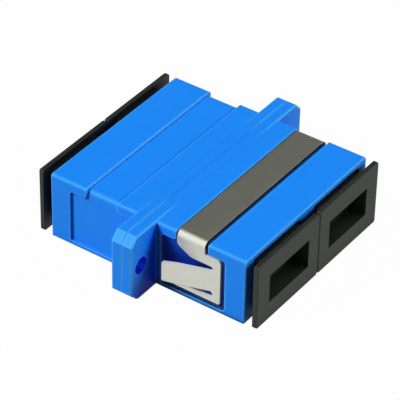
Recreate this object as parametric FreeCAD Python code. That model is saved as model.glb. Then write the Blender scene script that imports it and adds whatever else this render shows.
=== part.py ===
"""Flanged duplex adapter for SC fibre connectors, in millimetres.

X runs across the two ports, Y along the fibres with the clipped end at -Y, and Z up.
The origin is under the middle of the flange, on the flat underside of the housing.
Two identical housing halves meet at Y = 0. Each half is drawn at -Y, and the rear one
is the same moulding turned half a turn about Z.
"""

import FreeCAD, Part
import math
import os

Vector = FreeCAD.Vector

# Housing half
body_width = 25.8
body_height = 9.3
body_half_length = 14.32
body_top_radius = 0.45
body_end_bevel = 0.12
port_pitch = 12.7
port_width = 9.2
port_height = 7.5
mouth_chamfer = 0.3
keyway_width = 2.4
keyway_depth = 0.5
keyway_length = 8.0

# Flange, half of it on each housing half
flange_width = 35.6
flange_thickness = 3.0
flange_rise = 0.08
flange_chamfer = 1.1
flange_edge_bevel = 0.16
seam_bevel = 0.05
ear_hole_diameter = 2.4
ear_hole_edge = 1.9
weld_pin_diameter = 1.2
weld_pin_length = 0.9
weld_pin_inset = 1.0
weld_pin_rise = 2.6
weld_pin_gap = 0.05

# Panel clip, folded from strip
clip_thickness = 0.3
clip_bend_radius = 0.55
clip_band_width = 3.98
leg_front = 10.73
leg_rear = 3.9
leg_strip_height = 0.69
leg_corner_radius = 0.3
leg_shoulder_radius = 0.5
neck_sweep = 1.15
neck_sweep_length = 2.0
slot_end = 9.65
leg_arm_height = 1.3
upper_slot = 0.6
lower_slot = 0.8
tongue_root = 0.1
tongue_tip_inset = 0.15
tongue_taper_length = 1.9
tongue_angle = 18.5
panel_room = 2.02
tongue_tip_radius = 0.35
bend_relief = 0.3

# Recess for the clip, the same in both halves
band_start = 4.35
band_depth = 0.3
band_edge_bevel = 0.12
band_corner_radius = 0.65
pocket_depth = 0.35
pocket_root = 0.7
pocket_rim = 0.5
pocket_ledge = 1.4
pocket_corner_radius = 0.4
clip_rear_gap = 0.12
clip_front_gap = 0.5
leg_end_gap = 0.67
leg_bottom_gap = 0.6
shoulder_gap = 0.3

# Split sleeve and the latch holders that cage it
sleeve_bore = 2.5
sleeve_wall = 0.35
sleeve_length = 11.4
sleeve_slit = 0.5
sleeve_end_chamfer = 0.08
sleeve_gap = 0.05
holder_wall = 0.75
holder_lip = 0.65
lip_bore = 2.9
lip_funnel = 0.4
plate_width = 10.1
plate_height = 8.1
plate_thickness = 1.1
plate_gap = 0.05
arm_inner = 3.3
arm_thickness = 0.9
arm_height = 3.2
arm_length = 8.8
hook_reach = 0.55
hook_length = 0.9
hook_land = 0.3
hook_radius = 0.14
arm_end_radius = 0.18

# Dust cap
cap_flange_width = 12.9
cap_flange_shift = 0.15
cap_flange_height = 9.2
cap_flange_thickness = 0.65
cap_corner_radius = 0.35
cap_edge_bevel = 0.12
cap_standoff = 1.13
cap_gap = 0.05
plug_insertion = 4.8
plug_corner_radius = 0.6
plug_tip_chamfer = 0.3
plug_wall = 0.8
grip_width = 8.25
grip_height = 4.05
grip_depth = 2.4
web_thickness = 0.6

# How far each cutting shape reaches past the face it opens
cut_beyond = 1.0

# Worked-out places
mid_height = body_height / 2
ear_hole_spacing = flange_width - 2 * ear_hole_edge
weld_pin_x = body_width / 2 + weld_pin_inset
weld_pin_z = mid_height + weld_pin_rise
flange_half = flange_thickness / 2
clip_inner_x = body_width / 2 - pocket_depth
clip_outer_x = clip_inner_x + clip_thickness
clip_inner_z = body_height - band_depth
clip_outer_z = clip_inner_z + clip_thickness
clip_start = band_start + clip_rear_gap
clip_end = clip_start + clip_band_width
band_end = clip_end + clip_front_gap
pocket_start = flange_half + pocket_root
pocket_end = leg_front + leg_end_gap
pocket_top = body_height - pocket_ledge
leg_bottom = pocket_rim + leg_bottom_gap
leg_shoulder = pocket_top - shoulder_gap
arm_low = leg_shoulder - leg_arm_height
tongue_high = arm_low - upper_slot
strip_top = leg_bottom + leg_strip_height
tongue_low = strip_top + lower_slot
tongue_bend = slot_end - bend_relief
tongue_tip = flange_half + panel_room
holder_end = sleeve_length / 2 + sleeve_gap + holder_lip
cap_face = body_half_length + cap_standoff + cap_flange_thickness
plug_end = body_half_length - plug_insertion


def across(y):
    """Points (x, z) on the plane square to the fibres at y."""
    return lambda x, z: Vector(x, y, z)


def beside(x):
    """Points (y, z) on the plane square to X."""
    return lambda y, z: Vector(x, y, z)


def level(z):
    """Points (x, y) on the level plane at z."""
    return lambda x, y: Vector(x, y, z)


def outline(corners, place):
    """Closed wire through corners (a, b, radius), each rounded by its own radius."""
    edges = []
    previous_end = None
    first_start = None
    for i, (a, b, radius) in enumerate(corners):
        corner = place(a, b)
        before = place(*corners[i - 1][:2]) - corner
        after = place(*corners[(i + 1) % len(corners)][:2]) - corner
        before.normalize()
        after.normalize()
        half_angle = before.getAngle(after) / 2
        tangent = radius / math.tan(half_angle) if radius else 0
        start = corner + before * tangent
        end = corner + after * tangent
        if previous_end and start.distanceToPoint(previous_end) > 1e-6:
            edges.append(Part.LineSegment(previous_end, start).toShape())
        if radius:
            bisector = (before + after).normalize()
            middle = corner + bisector * (radius / math.sin(half_angle) - radius)
            edges.append(Part.Arc(start, middle, end).toShape())
        first_start = first_start or start
        previous_end = end
    if previous_end.distanceToPoint(first_start) > 1e-6:
        edges.append(Part.LineSegment(previous_end, first_start).toShape())
    return Part.Wire(edges)


def prism(corners, place, travel):
    """Solid of the outline pushed along the travel vector."""
    return Part.Face(outline(corners, place)).extrude(travel)


def rectangle(width, low, high, radius):
    """Corners of a rectangle centred on the first axis."""
    half = width / 2
    return [(-half, low, radius), (half, low, radius), (half, high, radius), (-half, high, radius)]


def bar(width, height, radius, y_from, y_to, x=0.0):
    """Rounded rectangular bar along Y, centred at x and at the ports' height."""
    corners = rectangle(width, mid_height - height / 2, mid_height + height / 2, radius)
    shape = prism(corners, across(y_from), Vector(0, y_to - y_from, 0))
    shape.translate(Vector(x, 0, 0))
    return shape


def rod(diameter, y_from, y_to, x, z):
    """Round bar along Y."""
    return Part.makeCylinder(diameter / 2, y_to - y_from, Vector(x, y_from, z), Vector(0, 1, 0))


def edges_at(shape, y):
    """Edges that lie wholly on the plane square to the fibres at y."""
    found = []
    for edge in shape.Edges:
        box = edge.BoundBox
        if abs(box.YMin - y) < 1e-6 and abs(box.YMax - y) < 1e-6:
            found.append(edge)
    return found


def mirrored(shape):
    """Copy of the shape on the other side of X = 0."""
    return shape.mirror(Vector(0, 0, 0), Vector(1, 0, 0))


def turned(shape):
    """Copy of the shape turned half a turn about Z, to the rear half."""
    copy = shape.copy()
    copy.rotate(Vector(0, 0, 0), Vector(0, 0, 1), 180)
    return copy


def housing_block():
    """Outside of one half: the long body, rounded along and at its open end, and the flange."""
    side = body_width / 2
    section = [
        (-side, 0, 0),
        (side, 0, 0),
        (side, body_height, body_top_radius),
        (-side, body_height, body_top_radius),
    ]
    body = prism(section, across(-body_half_length), Vector(0, body_half_length, 0))
    body = body.makeChamfer(body_end_bevel, edges_at(body, -body_half_length))
    half = flange_width / 2
    inner = half - flange_chamfer
    top = body_height + flange_rise
    corners = [
        (-inner, 0, 0),
        (inner, 0, 0),
        (half, flange_chamfer, 0),
        (half, top - flange_chamfer, 0),
        (inner, top, 0),
        (-inner, top, 0),
        (-half, top - flange_chamfer, 0),
        (-half, flange_chamfer, 0),
    ]
    flange = prism(corners, across(-flange_half), Vector(0, flange_half, 0))
    flange = flange.makeChamfer(seam_bevel, edges_at(flange, 0))
    rim = [edge for edge in edges_at(flange, -flange_half) if edge.BoundBox.ZMax > 0]
    flange = flange.makeChamfer(flange_edge_bevel, rim)
    return body.fuse(flange)


def mouth_funnel(x):
    """Chamfered lead-in at a port's mouth."""
    wires = []
    for y, grow in ((-body_half_length, mouth_chamfer), (mouth_chamfer - body_half_length, 0)):
        corners = rectangle(
            port_width + 2 * grow,
            mid_height - port_height / 2 - grow,
            mid_height + port_height / 2 + grow,
            0,
        )
        wires.append(outline(corners, across(y)))
    funnel = Part.makeLoft(wires, True, True)
    funnel.translate(Vector(x, 0, 0))
    return funnel


def port_space(x):
    """All that is hollow in one port of one half: socket, lead-in, keyway and plate seat."""
    socket = bar(port_width, port_height, 0, -body_half_length, 0, x)
    floor = mid_height - port_height / 2
    keyway = Part.makeBox(
        keyway_width,
        keyway_length,
        keyway_depth + port_height / 2,
        Vector(x - keyway_width / 2, -body_half_length, floor - keyway_depth),
    )
    seat = bar(
        plate_width + 2 * plate_gap,
        plate_height + 2 * plate_gap,
        0,
        -plate_thickness - plate_gap,
        0,
        x,
    )
    return socket.fuse([mouth_funnel(x), keyway, seat])


def side_recess():
    """Space let into the left side for the clip's leg: a pocket with a neck up to the top band."""
    radius = pocket_corner_radius
    above = body_height + cut_beyond
    corners = [
        (-pocket_end, pocket_rim, radius),
        (-pocket_start, pocket_rim, radius),
        (-pocket_start, pocket_top, radius),
        (-band_start, pocket_top, radius),
        (-band_start, above, 0),
        (-band_end, above, 0),
        (-band_end, pocket_top, radius),
        (-pocket_end, pocket_top, radius),
    ]
    return prism(corners, beside(-clip_inner_x), Vector(-pocket_depth - cut_beyond, 0, 0))


def corner_round():
    """Sliver that rounds the band's left end, well clear of the inside of the clip's fold."""
    radius = band_corner_radius
    length = band_end - band_start
    centre = Vector(radius - clip_inner_x, -band_end, clip_inner_z - radius)
    square = Part.makeBox(radius, length, radius, centre - Vector(radius, 0, 0))
    return square.cut(Part.makeCylinder(radius, length, centre, Vector(0, 1, 0)))


def clip_recess():
    """Everything cut from a half to sink the clip into it."""
    bevel_foot = body_height - band_edge_bevel
    above = body_height + cut_beyond
    spread = band_edge_bevel + cut_beyond
    corners = [
        (-band_end, clip_inner_z, 0),
        (-band_start, clip_inner_z, 0),
        (-band_start, bevel_foot, 0),
        (-band_start + spread, above, 0),
        (-band_end - spread, above, 0),
        (-band_end, bevel_foot, 0),
    ]
    side = body_width / 2 + cut_beyond
    band = prism(corners, beside(-side), Vector(2 * side, 0, 0))
    left = side_recess().fuse(corner_round())
    return band.fuse([left, mirrored(left)])


def housing_half():
    """Front half of the moulded housing."""
    half = housing_block()
    hollows = [port_space(side * port_pitch / 2) for side in (-1, 1)]
    holes = [
        rod(ear_hole_diameter, -flange_half, 0, side * ear_hole_spacing / 2, mid_height)
        for side in (-1, 1)
    ]
    socket_diameter = weld_pin_diameter + 2 * weld_pin_gap
    socket = rod(socket_diameter, -weld_pin_length - weld_pin_gap, 0, -weld_pin_x, weld_pin_z)
    pin = rod(weld_pin_diameter, -weld_pin_gap, weld_pin_length, weld_pin_x, weld_pin_z)
    half = half.cut(hollows + holes + [socket, clip_recess()])
    return half.fuse(pin).removeSplitter()


def clip_band():
    """The clip's strip over the top, folded down at both sides."""
    low = clip_inner_z - clip_bend_radius
    start = across(-clip_end)
    travel = Vector(0, clip_band_width, 0)
    outer_radius = clip_bend_radius + clip_thickness
    outside = [
        (-clip_outer_x, low, 0),
        (clip_outer_x, low, 0),
        (clip_outer_x, clip_outer_z, outer_radius),
        (-clip_outer_x, clip_outer_z, outer_radius),
    ]
    inside = [
        (-clip_inner_x, low, 0),
        (clip_inner_x, low, 0),
        (clip_inner_x, clip_inner_z, clip_bend_radius),
        (-clip_inner_x, clip_inner_z, clip_bend_radius),
    ]
    return prism(outside, start, travel).cut(prism(inside, start, travel))


def clip_leg_plate():
    """Flat part of the left leg, slotted above and below the tongue."""
    fold = clip_inner_z - clip_bend_radius
    corners = [
        (-clip_start, fold, 0),
        (-clip_start, arm_low + neck_sweep, neck_sweep / 2),
        (-clip_start - neck_sweep_length, arm_low, neck_sweep),
        (-slot_end, arm_low, upper_slot / 2),
        (-slot_end, tongue_high, upper_slot / 2),
        (-tongue_bend, tongue_high, 0),
        (-tongue_bend, tongue_low, 0),
        (-slot_end, tongue_low, lower_slot / 2),
        (-slot_end, strip_top, lower_slot / 2),
        (-leg_rear, strip_top, leg_corner_radius),
        (-leg_rear, leg_bottom, leg_corner_radius),
        (-leg_front, leg_bottom, leg_corner_radius),
        (-leg_front, leg_shoulder, leg_shoulder_radius),
        (-clip_end, leg_shoulder, leg_corner_radius),
        (-clip_end, fold, 0),
    ]
    return prism(corners, beside(-clip_inner_x), Vector(-clip_thickness, 0, 0))


def clip_tongue():
    """Left tongue: bent out of the leg towards the flange, and tapered at its tip."""
    angle = math.radians(tongue_angle)
    reach = (tongue_bend - tongue_tip) * math.tan(angle)
    slope_x = clip_thickness * math.cos(angle)
    slope_y = clip_thickness * math.sin(angle)
    root = tongue_bend + tongue_root
    tip_x = clip_inner_x + reach
    plan = [
        (-clip_inner_x, -root, 0),
        (-clip_inner_x, -tongue_bend, 0),
        (-tip_x, -tongue_tip, 0),
        (-tip_x - slope_x, -tongue_tip - slope_y, 0),
        (-clip_outer_x, -tongue_bend - clip_thickness * math.tan(angle / 2), 0),
        (-clip_outer_x, -root, 0),
    ]
    blade = prism(plan, level(tongue_low), Vector(0, 0, tongue_high - tongue_low))
    taper = tongue_tip + tongue_taper_length
    side = [
        (-root, tongue_low, 0),
        (-taper, tongue_low, 0),
        (-tongue_tip, tongue_low + tongue_tip_inset, tongue_tip_radius),
        (-tongue_tip, tongue_high - tongue_tip_inset, tongue_tip_radius),
        (-taper, tongue_high, 0),
        (-root, tongue_high, 0),
    ]
    keep = prism(side, beside(-clip_inner_x), Vector(-reach - clip_thickness, 0, 0))
    return blade.common(keep)


def panel_clip():
    """One-piece spring clip that hooks behind a panel."""
    left = clip_leg_plate().fuse(clip_tongue())
    return clip_band().fuse([left, mirrored(left)]).removeSplitter()


def split_sleeve(x):
    """Ceramic alignment sleeve with one slit along its top."""
    outer = sleeve_bore / 2 + sleeve_wall
    half = sleeve_length / 2
    profile = [
        (sleeve_bore / 2, -half, 0),
        (outer - sleeve_end_chamfer, -half, 0),
        (outer, sleeve_end_chamfer - half, 0),
        (outer, half - sleeve_end_chamfer, 0),
        (outer - sleeve_end_chamfer, half, 0),
        (sleeve_bore / 2, half, 0),
    ]
    face = Part.Face(outline(profile, level(0)))
    tube = face.revolve(Vector(0, 0, 0), Vector(0, 1, 0), 360)
    slit = Part.makeBox(sleeve_slit, sleeve_length, outer, Vector(-sleeve_slit / 2, -half, 0))
    sleeve = tube.cut(slit)
    sleeve.translate(Vector(x, 0, mid_height))
    return sleeve


def latch_arm():
    """Spring arm at +X of a holder centred on X = 0, with its hook turned inwards."""
    outer = arm_inner + arm_thickness
    hook = arm_inner - hook_reach
    catch = arm_length - hook_length
    root = plate_thickness / 2
    corners = [
        (arm_inner, -root, 0),
        (arm_inner, -catch, hook_radius),
        (hook, -catch, hook_radius),
        (hook, -catch - hook_land, hook_radius),
        (arm_inner, -arm_length, arm_end_radius),
        (outer, -arm_length, arm_end_radius),
        (outer, -root, 0),
    ]
    return prism(corners, level(mid_height - arm_height / 2), Vector(0, 0, arm_height))


def latch_holder(x):
    """Plate, sleeve tube and two latch arms in one moulding, for the front half."""
    plate = bar(plate_width, plate_height, 0, -plate_thickness, 0)
    seat = sleeve_bore + 2 * (sleeve_wall + sleeve_gap)
    tube = rod(seat + 2 * holder_wall, -holder_end, -plate_thickness / 2, 0, mid_height)
    funnel = Part.makeCone(
        lip_bore / 2 + lip_funnel,
        lip_bore / 2,
        holder_lip,
        Vector(0, -holder_end, mid_height),
        Vector(0, 1, 0),
    )
    bore = rod(seat, holder_lip - holder_end, 0, 0, mid_height)
    arm = latch_arm()
    holder = plate.fuse([tube, arm, mirrored(arm)]).cut([bore, funnel]).removeSplitter()
    holder.translate(Vector(x, 0, 0))
    return holder


def dust_cap(x):
    """Rectangular plug with a thin flange, hollow on both sides of a web, for the front half.

    The flange stands off-centre, away from its neighbour's.
    """
    plug_width = port_width - 2 * cap_gap
    plug_height = port_height - 2 * cap_gap
    flange = bar(
        cap_flange_width,
        cap_flange_height,
        cap_corner_radius,
        -cap_face,
        cap_flange_thickness - cap_face,
        math.copysign(cap_flange_shift, x),
    )
    flange = flange.makeChamfer(cap_edge_bevel, edges_at(flange, -cap_face))
    plug = bar(plug_width, plug_height, plug_corner_radius, -cap_face + cap_flange_thickness / 2, -plug_end)
    plug = plug.makeChamfer(plug_tip_chamfer, edges_at(plug, -plug_end))
    grip = bar(grip_width, grip_height, 0, -cap_face, grip_depth - cap_face)
    hollow = bar(
        plug_width - 2 * plug_wall,
        plug_height - 2 * plug_wall,
        0,
        grip_depth + web_thickness - cap_face,
        -plug_end,
    )
    cap = flange.fuse(plug).cut([grip, hollow]).removeSplitter()
    cap.translate(Vector(x, 0, 0))
    return cap


def build():
    """Every piece of the adapter by its node's name."""
    half = housing_half()
    pieces = {"front_shell": half, "rear_shell": turned(half), "panel_clip": panel_clip()}
    for side, x in (("left", -port_pitch / 2), ("right", port_pitch / 2)):
        pieces["split_sleeve_" + side] = split_sleeve(x)
        pieces["latch_holder_front_" + side] = latch_holder(x)
        pieces["latch_holder_rear_" + side] = turned(latch_holder(-x))
        pieces["dust_cap_front_" + side] = dust_cap(x)
        pieces["dust_cap_rear_" + side] = turned(dust_cap(-x))
    return pieces


os.makedirs("parts", exist_ok=True)
for name, piece in build().items():
    solid = piece.Solids[0] if len(piece.Solids) == 1 else piece
    solid.exportStep(f"parts/{name}.step")
    box = solid.BoundBox
    print(
        f"{name}: solids {len(solid.Solids)}, valid {solid.isValid()}, volume {solid.Volume:.2f},"
        f" x {box.XMin:.2f} {box.XMax:.2f}, y {box.YMin:.2f} {box.YMax:.2f},"
        f" z {box.ZMin:.2f} {box.ZMax:.2f}"
    )
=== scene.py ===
import math

import bpy
from mathutils import Matrix, Vector


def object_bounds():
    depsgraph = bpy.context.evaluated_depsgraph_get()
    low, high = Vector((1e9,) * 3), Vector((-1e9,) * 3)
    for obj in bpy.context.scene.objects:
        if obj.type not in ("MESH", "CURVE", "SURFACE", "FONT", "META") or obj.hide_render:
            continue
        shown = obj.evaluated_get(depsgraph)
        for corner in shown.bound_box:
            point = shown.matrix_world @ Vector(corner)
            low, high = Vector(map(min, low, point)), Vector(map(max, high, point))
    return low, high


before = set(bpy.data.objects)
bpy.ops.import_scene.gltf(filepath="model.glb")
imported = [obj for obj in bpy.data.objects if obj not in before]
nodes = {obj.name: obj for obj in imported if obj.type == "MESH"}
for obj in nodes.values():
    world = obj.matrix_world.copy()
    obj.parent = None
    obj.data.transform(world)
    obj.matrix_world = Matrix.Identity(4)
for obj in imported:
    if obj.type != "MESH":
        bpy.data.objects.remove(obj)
cad_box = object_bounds()


# Housing halves. Two identical injection mouldings in blue plastic, satin all over from a
# spark-eroded mould, and welded to each other at the seam around the flange.

class Wire:
    """A socket of a material's node tree. Sums and products of wires add Math nodes."""

    def __init__(self, tree, socket=None):
        self.tree = tree
        self.socket = socket

    def feed(self, socket, value):
        """Put a number, a colour or another wire into a socket."""
        if isinstance(value, Wire):
            self.tree.links.new(value.socket, socket)
        else:
            socket.default_value = value

    def node(self, kind, settings=(), inputs=(), output=0):
        """Any other node: its type, its settings, then the values or wires of its sockets."""
        made = self.tree.nodes.new(kind)
        for name, value in dict(settings).items():
            setattr(made, name, value)
        for name, value in dict(inputs).items():
            self.feed(made.inputs[name], value)
        return Wire(self.tree, made.outputs[output] if made.outputs else None)

    def beside(self, name):
        """Another output of the node that this wire leaves."""
        return Wire(self.tree, self.socket.node.outputs[name])

    def maths(self, operation, *values):
        """A Math node on these values."""
        return self.node("ShaderNodeMath", {"operation": operation}, enumerate(values))

    def unsigned(self):
        """This wire without its sign."""
        return self.maths("ABSOLUTE", self)

    def clamp(self):
        """This wire held between 0 and 1."""
        return self.node("ShaderNodeClamp", inputs={"Value": self})

    def rise(self, start, slope):
        """0 up to the start, then up along the slope to 1 and no further."""
        return ((self - start) * slope).clamp()

    def __add__(self, other):
        return self.maths("ADD", self, other)

    def __radd__(self, other):
        return self.maths("ADD", other, self)

    def __sub__(self, other):
        return self.maths("SUBTRACT", self, other)

    def __rsub__(self, other):
        return self.maths("SUBTRACT", other, self)

    def __mul__(self, other):
        return self.maths("MULTIPLY", self, other)

    def __rmul__(self, other):
        return self.maths("MULTIPLY", other, self)

    def __gt__(self, other):
        return self.maths("GREATER_THAN", self, other)

    def __lt__(self, other):
        return self.maths("LESS_THAN", self, other)


def new_material(name):
    """A new material, and a wire of the place on the part in millimetres for its patterns."""
    material = bpy.data.materials.new(name)
    material.use_nodes = True
    start = Wire(material.node_tree)
    metres = start.node("ShaderNodeTexCoord", output="Object")
    scaled = {0: metres, "Scale": 1000.0}
    return material, start.node("ShaderNodeVectorMath", {"operation": "SCALE"}, scaled)


def finish(material, sockets):
    """Give the material's own shader these values and wires."""
    start = Wire(material.node_tree)
    shader = material.node_tree.nodes["Principled BSDF"]
    for name, value in sockets.items():
        start.feed(shader.inputs[name], value)


def paint(names, material):
    """Cover CAD nodes with one material."""
    for name in names:
        mesh = nodes[name].data
        mesh.materials.clear()
        mesh.materials.append(material)


def blend(factor, low, high):
    """Colour that goes from low to high as the factor goes from 0 to 1."""
    inputs = {0: factor, 6: low, 7: high}
    return factor.node("ShaderNodeMix", {"data_type": "RGBA"}, inputs, output=2)


def noise(place, grains, detail, squeeze=None):
    """Grey noise from 0 to 1, so many grains to the millimetre, squeezed along X, Y and Z."""
    if squeeze is not None:
        squeezed = {0: place, 1: squeeze}
        place = place.node("ShaderNodeVectorMath", {"operation": "MULTIPLY"}, squeezed)
    return place.node(
        "ShaderNodeTexNoise",
        inputs={"Vector": place, "Scale": grains, "Detail": detail, "Roughness": 0.5},
    )


def bumped(height, depth, strength, normal=None):
    """A normal bumped by the height, on top of another normal if one is given."""
    inputs = {"Height": height, "Distance": depth, "Strength": strength}
    if normal is not None:
        inputs["Normal"] = normal
    return height.node("ShaderNodeBump", inputs=inputs)


def softened(place, radius):
    """The normal as if every edge were rounded by the radius."""
    return place.node("ShaderNodeBevel", {"samples": probe_rays}, {"Radius": radius})


def closeness(place, reach):
    """0 in the open, and up to 1 in corners and slots, by what lies within the reach."""
    settings = {"samples": probe_rays, "only_local": False}
    inputs = {"Distance": reach}
    return 1 - place.node("ShaderNodeAmbientOcclusion", settings, inputs, output="AO")


def split(vector):
    """The X, Y and Z of a vector."""
    parts = vector.node("ShaderNodeSeparateXYZ", inputs={0: vector})
    return [parts.beside(axis) for axis in "XYZ"]


def facing(place):
    """How squarely the surface faces along the part's X, Y and Z, either way, from 0 to 1."""
    turned = place.node(
        "ShaderNodeVectorTransform",
        {"vector_type": "NORMAL", "convert_from": "WORLD", "convert_to": "OBJECT"},
        {0: place.node("ShaderNodeNewGeometry", output="Normal")},
    )
    return split(place.node("ShaderNodeVectorMath", {"operation": "ABSOLUTE"}, {0: turned}))


def edge_mask(place, width):
    """1 on sharp outer edges, about half on rounds and chamfers, 0 on flats and in corners."""
    flat = place.node("ShaderNodeNewGeometry", output="Normal")
    alike = place.node(
        "ShaderNodeVectorMath",
        {"operation": "DOT_PRODUCT"},
        {0: softened(place, width), 1: flat},
        output="Value",
    )
    x, y, z = facing(place)
    slant = 1 - x.maths("MAXIMUM", x.maths("MAXIMUM", x, y), z)
    outer = (1 - closeness(place, width * 2)).rise(start=0.55, slope=4.0)
    return ((1 - alike) * edge_gain + slant * chamfer_gain).clamp() * outer


probe_rays = 6
edge_gain = 9.0
chamfer_gain = 2.0

housing_blue = (0.014, 0.245, 0.90, 1)
housing_deep = (0.010, 0.225, 0.85, 1)
# Colour of edges that are rubbed pale and carry a painted highlight.
housing_worn_highlight = (0.10, 0.48, 1.0, 1)
# Painted shade colours for the ears' inner corners, the clip's pockets and the slots.
housing_painted_shade = (0.001, 0.030, 0.95, 1)
housing_pocket_shade = (0.0004, 0.003, 0.24, 1)
housing_slot_shade = (0.001, 0.004, 0.03, 1)
housing_satin = 0.40

# Widths and depths in metres.
housing_edge = 0.00034
housing_round = 0.0002
corner_reach = 0.004
slot_shade_reach = 0.0009
flow_depth = 0.00003
grain_depth = 0.00001

# Places in millimetres: the flange's clipped face, half its thickness and its top, the floor of
# the clip's pockets, and the ears' two ends. Each clears its face by a hair.
flange_face = -1.55
flange_half = 1.8
flange_top = 9.1
pocket_floor = 12.7
ear_root = 13.2
ear_end = 17.7
# Where the edges' wear and painted highlight start to fade along the flange's top.
wear_and_highlight_from = 11.0

moulded_blue, place = new_material("moulded_blue")
cloud = noise(place, grains=0.35, detail=3.0)
grain = noise(place, grains=16.0, detail=2.0)
flow = noise(place, grains=1.2, detail=2.0, squeeze=(0.25, 1.6, 0.9))

# Painted shade: the clip's pockets are painted navy in their depth, the slots nearly black, and
# the ears' inner corners a deep blue that is faint elsewhere, all where shade falls.
x, y, z = split(place)
outward = x.unsigned()
sideways = facing(place)[0]
before_flange = y < flange_face
in_pocket = (outward < pocket_floor) * before_flange
in_ear = (outward > ear_root) * (outward < ear_end)
corner = closeness(place, corner_reach)
corner_painted_shade = corner.rise(start=0.12, slope=3.0) * (0.06 + in_ear * 0.90)
pocket_painted_shade = corner.rise(start=0.06, slope=8.0) * sideways * in_pocket * 0.92
slot_painted_shade = closeness(place, slot_shade_reach).rise(start=0.20, slope=5.0) * (0.15 + before_flange * 0.80)

# Outer edges are rubbed pale and carry a painted highlight, but hardly so along the middle of
# the flange's top.
on_top = (z > flange_top) * (y.unsigned() < flange_half)
spared = on_top * (wear_and_highlight_from - outward).rise(start=0.0, slope=0.3) * 0.9
worn_and_highlight = edge_mask(place, housing_edge) * (1 - spared)

colour = blend(cloud, housing_deep, housing_blue)
# Painted shade over the cloudy blue: corners, then pockets, then slots.
colour = blend(corner_painted_shade, colour, housing_painted_shade)
colour = blend(pocket_painted_shade, colour, housing_pocket_shade)
colour = blend(slot_painted_shade, colour, housing_slot_shade)
colour = blend(worn_and_highlight * 0.85, colour, housing_worn_highlight)
rippled = bumped(flow, flow_depth, 0.18, softened(place, housing_round))
finish(moulded_blue, {
    "Base Color": colour,
    "Roughness": housing_satin + grain * 0.10 + cloud * 0.06 - worn_and_highlight * 0.08,
    "IOR": 1.46,
    "Specular IOR Level": 0.25,
    "Normal": bumped(grain, grain_depth, 0.35, rippled),
})
paint(["front_shell", "rear_shell"], moulded_blue)


# Panel clip. One strip of stainless spring steel, 0.3 mm thick, sheared and folded over the top.
# A tongue is cut and bent out of each leg to snap behind the panel.

steel_pale = (0.97, 0.98, 0.84, 1)
steel_dark = (0.87, 0.88, 0.75, 1)
steel_cut = (0.74, 0.74, 0.84, 1)
# Painted shade for the band's end faces in its groove.
steel_painted_shade = (0.05, 0.06, 0.08, 1)
steel_satin = 0.34

# Widths and depths in metres, and in millimetres the height at which the fold meets the legs.
steel_edge = 0.0002
steel_round = 0.00007
rolling_depth = 0.000004
fold_foot = 8.4

rolled_steel, place = new_material("rolled_steel")
rolling = noise(place, grains=3.0, detail=3.0, squeeze=(0.4, 14.0, 0.4))
blotch = noise(place, grains=0.6, detail=3.0)

# The sheared edges are matt on the legs, and the band's end faces above them get painted shade,
# dark where the band lies sunk in its groove.
endways, upward = facing(place)[1:]
on_leg = split(place)[2] < fold_foot
sheared = (upward + endways).rise(start=0.5, slope=3.0)
cut = (edge_mask(place, steel_edge) + sheared).clamp() * on_leg
sunk_painted_shade = (endways - on_leg).clamp()

colour = blend(blotch, steel_dark, steel_pale)
colour = blend(cut, colour, steel_cut)
colour = blend(sunk_painted_shade, colour, steel_painted_shade)
finish(rolled_steel, {
    "Base Color": colour,
    "Metallic": 1 - cut * 0.85,
    "Roughness": steel_satin + rolling * 0.10 + blotch * 0.06 + cut * 0.4,
    "Normal": bumped(rolling, rolling_depth, 0.25, softened(place, steel_round)),
})
paint(["panel_clip"], rolled_steel)


# Dust caps. Black polyethylene plugs, one for each port, pushed into the sockets and held by
# friction. The pocket in each flange is for a fingernail.

cap_black = (0.011, 0.015, 0.010, 1)
cap_grey = (0.019, 0.024, 0.017, 1)
# Colour of cap edges that are rubbed and carry a painted highlight.
cap_worn_highlight = (0.04, 0.042, 0.038, 1)
# Painted shade for the fingernail pocket and other hollows.
cap_recess_shade = (0.0005, 0.0007, 0.0005, 1)
cap_satin = 0.42
cap_edge = 0.00018
cap_round = 0.0001
recess_shade_reach = 0.003

moulded_black, place = new_material("moulded_black")
cloud = noise(place, grains=0.5, detail=3.0)
grain = noise(place, grains=14.0, detail=2.0)
# Painted shade darkens the fingernail pocket and other hollows, and the edges are rubbed pale
# with a painted highlight.
recess_painted_shade = closeness(place, recess_shade_reach).rise(start=0.15, slope=3.0)
worn_and_highlight = edge_mask(place, cap_edge)

colour = blend(cloud, cap_black, cap_grey)
colour = blend(recess_painted_shade * 0.9, colour, cap_recess_shade)
colour = blend(worn_and_highlight * 0.3, colour, cap_worn_highlight)
finish(moulded_black, {
    "Base Color": colour,
    "Roughness": cap_satin + grain * 0.12 + cloud * 0.06,
    "Normal": bumped(grain, grain_depth, 0.4, softened(place, cap_round)),
})
quarters = [f"{end}_{side}" for end in ("front", "rear") for side in ("left", "right")]
paint([f"dust_cap_{quarter}" for quarter in quarters], moulded_black)


# Latch holders. Natural, unpigmented mouldings that sit back to back at the seam and cage the
# alignment sleeves. Two sprung arms on each catch the plug.

holder_pale = (0.80, 0.78, 0.71, 1)
holder_warm = (0.70, 0.66, 0.57, 1)
holder_satin = 0.38

natural_plastic, place = new_material("natural_plastic")
cloud = noise(place, grains=0.6, detail=3.0)
grain = noise(place, grains=12.0, detail=2.0)
finish(natural_plastic, {
    "Base Color": blend(cloud, holder_warm, holder_pale),
    "Roughness": holder_satin + grain * 0.12,
    "Subsurface Weight": 0.15,
    "Subsurface Scale": 0.0006,
    "Normal": bumped(grain, grain_depth, 0.3),
})
paint([f"latch_holder_{quarter}" for quarter in quarters], natural_plastic)


# Alignment sleeves. Ground zirconia tubes split along the top, which grip the two ferrules and
# float in the holders.

zirconia_pale = (0.90, 0.89, 0.84, 1)
zirconia_warm = (0.82, 0.80, 0.73, 1)
zirconia_gloss = 0.12
grinding_depth = 0.000004

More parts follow.
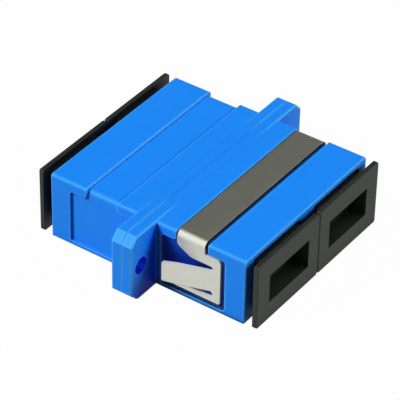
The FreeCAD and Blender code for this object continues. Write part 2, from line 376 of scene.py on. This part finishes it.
ground_zirconia, place = new_material("ground_zirconia")
grinding = noise(place, grains=4.0, detail=2.0, squeeze=(1.0, 12.0, 1.0))
finish(ground_zirconia, {
    "Base Color": blend(grinding, zirconia_warm, zirconia_pale),
    "Roughness": zirconia_gloss + grinding * 0.14,
    "Normal": bumped(grinding, grinding_depth, 0.2),
})
paint(["split_sleeve_left", "split_sleeve_right"], ground_zirconia)


# Floor and lights. A pale floor in white surroundings, with a soft key lamp at the rear left and
# another lamp at the front right. Metal mirrors neither lamp, so that it never clips to white,
# and its level faces mirror a dark card that stands at the rear right.

def white_share(start, seen, mirrored):
    """How much white a ray finds: from the camera or through clear things, and in mirrors."""
    ray = start.node("ShaderNodeLightPath", output="Is Camera Ray")
    glossy = ray.beside("Is Glossy Ray") * mirrored
    clear = ray.beside("Is Transmission Ray") * seen
    return (ray * seen + glossy + clear).clamp()


def stage_material(name, colour, seen, mirrored):
    """Matt colour that shows the camera, and every mirror, its own share of plain white."""
    material = bpy.data.materials.new(name)
    material.use_nodes = True
    material.node_tree.nodes.clear()
    start = Wire(material.node_tree)
    matt = start.node("ShaderNodeBsdfDiffuse", inputs={"Color": colour})
    white = start.node("ShaderNodeEmission", inputs={"Color": plain_white, "Strength": 1.0})
    share = white_share(start, seen, mirrored)
    mixed = start.node("ShaderNodeMixShader", inputs={0: share, 1: matt, 2: white})
    start.node("ShaderNodeOutputMaterial", inputs={"Surface": mixed})
    return material


def set_out(made, place, direction, roll=0.0):
    """Put a thing in its place in the scene, its Z along the direction and then rolled."""
    turn = direction.to_track_quat("Z", "Y").to_matrix().to_4x4()
    made.matrix_world = Matrix.Translation(place) @ turn @ Matrix.Rotation(roll, 4, "Z")
    bpy.context.scene.collection.objects.link(made)


def sheet(name, place, direction, width, material):
    """A flat square of the stage, which faces along the direction."""
    half = width / 2
    corners = [(-half, -half, 0), (half, -half, 0), (half, half, 0), (-half, half, 0)]
    mesh = bpy.data.meshes.new(name)
    mesh.from_pydata(corners, [], [(0, 1, 2, 3)])
    mesh.materials.append(material)
    made = bpy.data.objects.new(name, mesh)
    set_out(made, place, direction)
    return made


def lamp(name, direction, size, power):
    """A soft square lamp that shines on the object and isn't mirrored in it."""
    data = bpy.data.lights.new(name, "AREA")
    data.shape = "SQUARE"
    data.size = size
    data.energy = power
    made = bpy.data.objects.new(name, data)
    direction = direction.normalized()
    set_out(made, direction * lamp_distance, direction)
    made.visible_glossy = False


plain_white = (1, 1, 1, 1)
floor_grey = (0.22, 0.22, 0.22, 1)
floor_width = 6.0
floor_gap = 0.00003
card_black = (0.02, 0.02, 0.02, 1)
card_width = 1.5
card_place = Vector((0.65, 0.45, 0.61)) * 0.9
lamp_distance = 1.2
sky_strength = 0.05

floor_place = Vector((0, 0, cad_box[0][2] - floor_gap))
floor_white = stage_material("floor_white", floor_grey, seen=0.985, mirrored=0.55)
sheet("floor", floor_place, Vector((0, 0, 1)), floor_width, floor_white)

card_dark = stage_material("card_dark", card_black, seen=0.0, mirrored=0.05)
card = sheet("dark_card", card_place, -card_place, card_width, card_dark)
card.visible_camera = False
card.visible_diffuse = False
card.visible_shadow = False

lamp("key_lamp", Vector((-0.64, 0.47, 0.60)), size=0.45, power=16.0)
lamp("front_lamp", Vector((0.35, -0.8, 0.5)), size=0.4, power=10.5)

world = bpy.data.worlds.new("studio")
bpy.context.scene.world = world
world.use_nodes = True
world.node_tree.nodes.clear()
start = Wire(world.node_tree)
sky = start.node("ShaderNodeBackground", inputs={"Color": plain_white, "Strength": sky_strength})
white = start.node("ShaderNodeBackground", inputs={"Color": plain_white, "Strength": 1.0})
share = white_share(start, seen=1.0, mirrored=0.92)
mixed = start.node("ShaderNodeMixShader", inputs={0: share, 1: sky, 2: white})
start.node("ShaderNodeOutputWorld", inputs={"Surface": mixed})


# Camera. Far off with a long lens, to the front left and above, so that the ports' long sides
# stay nearly parallel. It is rolled by about a degree.

azimuth = math.radians(-55.18)
elevation = math.radians(37.32)
roll = math.radians(1.15)
distance = 0.2986
aim = Vector((-0.0072, -0.0037, 0.01005))
back = Vector((
    math.sin(azimuth) * math.cos(elevation),
    -math.cos(azimuth) * math.cos(elevation),
    math.sin(elevation),
))
camera_data = bpy.data.cameras.new("camera")
camera_data.lens = 227.05
camera_data.sensor_width = 36.0
camera_data.clip_start = 0.01
camera_data.clip_end = 20.0
camera = bpy.data.objects.new("camera", camera_data)
set_out(camera, aim + back * distance, back, roll)
bpy.context.scene.camera = camera
bpy.context.scene.view_settings.view_transform = "Standard"
